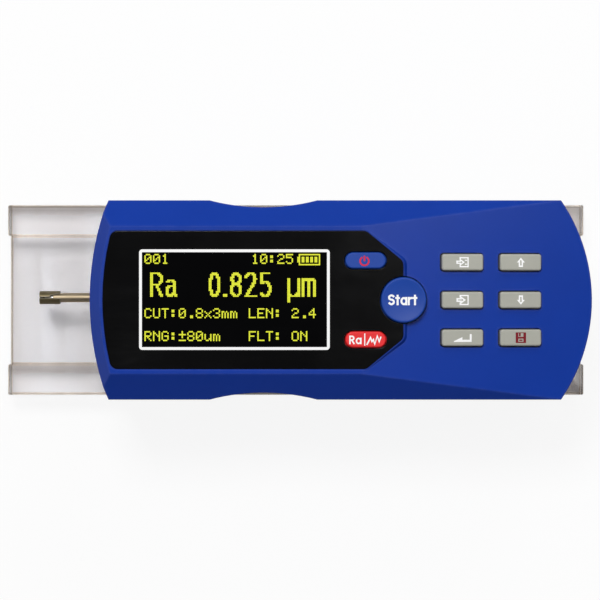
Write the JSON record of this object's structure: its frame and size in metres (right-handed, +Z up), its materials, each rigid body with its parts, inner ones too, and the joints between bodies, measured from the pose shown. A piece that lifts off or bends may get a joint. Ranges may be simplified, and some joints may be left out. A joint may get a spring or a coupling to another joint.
{
  "type": "surface roughness tester",
  "caption": "Hand-held surface roughness tester with display, keys and a motor-driven stylus pickup that reaches over the open channel of its clear acrylic stand.",
  "frame": {"origin": "middle of the stand's underside", "axes": "+X from the stylus end to the keypad end, +Y to the far side, +Z up"},
  "size_m": [0.17, 0.056, 0.062],
  "materials": {
    "clear_acrylic": "clear cast acrylic, polished faces",
    "case_blue": "blue moulded case with a fine satin texture",
    "panel_black": "gloss black display panel",
    "key_blue": "blue satin key",
    "key_red": "red satin key",
    "key_grey": "warm grey satin key",
    "black_plastic": "black moulded plastic",
    "board": "green circuit board",
    "steel": "ground steel",
    "alloy": "machined aluminium",
    "dark_alloy": "black anodised aluminium",
    "brass": "turned brass",
    "copper": "wound copper wire",
    "diamond": "ground diamond",
    "battery_foil": "foil pouch"
  },
  "bodies": {
    "tester": {"stand_plate": "clear_acrylic", "far_rail": "clear_acrylic", "near_rail": "clear_acrylic", "base_plate": "dark_alloy", "lower_case": "case_blue", "upper_cover": "case_blue", "case_screws": "steel", "display_window": "panel_black", "display_module": "black_plastic", "display_board": "board", "display_switches": "black_plastic", "display_screws": "steel", "key_board": "board", "key_switches": "black_plastic", "key_screws": "steel", "main_board": "board", "board_standoffs": "brass", "main_screws": "steel", "data_socket": "steel", "battery": "battery_foil", "drive_frame": "alloy", "frame_screws": "steel", "far_rod": "steel", "near_rod": "steel", "front_bearing": "brass", "rear_bearing": "brass", "gear_motor": "alloy", "motor_screws": "steel"},
    "power_key": {"power_key": "key_blue"},
    "profile_key": {"profile_key": "key_red"},
    "start_key": {"start_key": "key_blue"},
    "menu_key": {"menu_key": "key_grey"},
    "back_key": {"back_key": "key_grey"},
    "enter_key": {"enter_key": "key_grey"},
    "up_key": {"up_key": "key_grey"},
    "down_key": {"down_key": "key_grey"},
    "save_key": {"save_key": "key_grey"},
    "screw": {"lead_screw": "steel", "shaft_coupling": "alloy", "motor_shaft": "steel"},
    "pickup": {"carriage": "dark_alloy", "carriage_bushes": "brass", "drive_nut": "brass", "pickup_socket": "black_plastic", "pickup_body": "dark_alloy", "pickup_plug": "black_plastic", "pickup_tube": "steel", "skid_head": "dark_alloy", "pivot_pin": "steel", "sensor_coils": "copper"},
    "stylus": {"stylus_lever": "steel", "diamond_tip": "diamond"}
  },
  "joints": [
    {"name": "pickup_traverse", "type": "slide", "parent": "tester", "child": "pickup", "axis": [1, 0, 0], "range_m": [0, 0.0175]},
    {"name": "screw_turn", "type": "hinge", "parent": "tester", "child": "screw", "pos_m": [-0.0296, 0, 0.028], "axis": [1, 0, 0], "range_deg": [-6302, 0]},
    {"name": "stylus_pivot", "type": "hinge", "parent": "pickup", "child": "stylus", "pos_m": [-0.0466, 0.0007, 0.0195], "axis": [0, 1, 0], "range_deg": [-0.18, 0.18], "stiffness_Nm_per_rad": 0.035},
    {"name": "power_key_press", "type": "slide", "parent": "tester", "child": "power_key", "axis": [0, 0, -1], "range_m": [0, 0.0006], "stiffness_N_per_m": 500},
    {"name": "profile_key_press", "type": "slide", "parent": "tester", "child": "profile_key", "axis": [0, 0, -1], "range_m": [0, 0.0006], "stiffness_N_per_m": 500},
    {"name": "start_key_press", "type": "slide", "parent": "tester", "child": "start_key", "axis": [0, 0, -1], "range_m": [0, 0.0006], "stiffness_N_per_m": 500},
    {"name": "menu_key_press", "type": "slide", "parent": "tester", "child": "menu_key", "axis": [-0.1236, 0, -0.9923], "range_m": [0, 0.0006], "stiffness_N_per_m": 500},
    {"name": "back_key_press", "type": "slide", "parent": "tester", "child": "back_key", "axis": [-0.1236, 0, -0.9923], "range_m": [0, 0.0006], "stiffness_N_per_m": 500},
    {"name": "enter_key_press", "type": "slide", "parent": "tester", "child": "enter_key", "axis": [-0.1236, 0, -0.9923], "range_m": [0, 0.0006], "stiffness_N_per_m": 500},
    {"name": "up_key_press", "type": "slide", "parent": "tester", "child": "up_key", "axis": [-0.1236, 0, -0.9923], "range_m": [0, 0.0006], "stiffness_N_per_m": 500},
    {"name": "down_key_press", "type": "slide", "parent": "tester", "child": "down_key", "axis": [-0.1236, 0, -0.9923], "range_m": [0, 0.0006], "stiffness_N_per_m": 500},
    {"name": "save_key_press", "type": "slide", "parent": "tester", "child": "save_key", "axis": [-0.1236, 0, -0.9923], "range_m": [0, 0.0006], "stiffness_N_per_m": 500}
  ],
  "couplings": [
    {"joint": "screw_turn", "follows": "pickup_traverse", "rad_per_m": -6283.2}
  ]
}
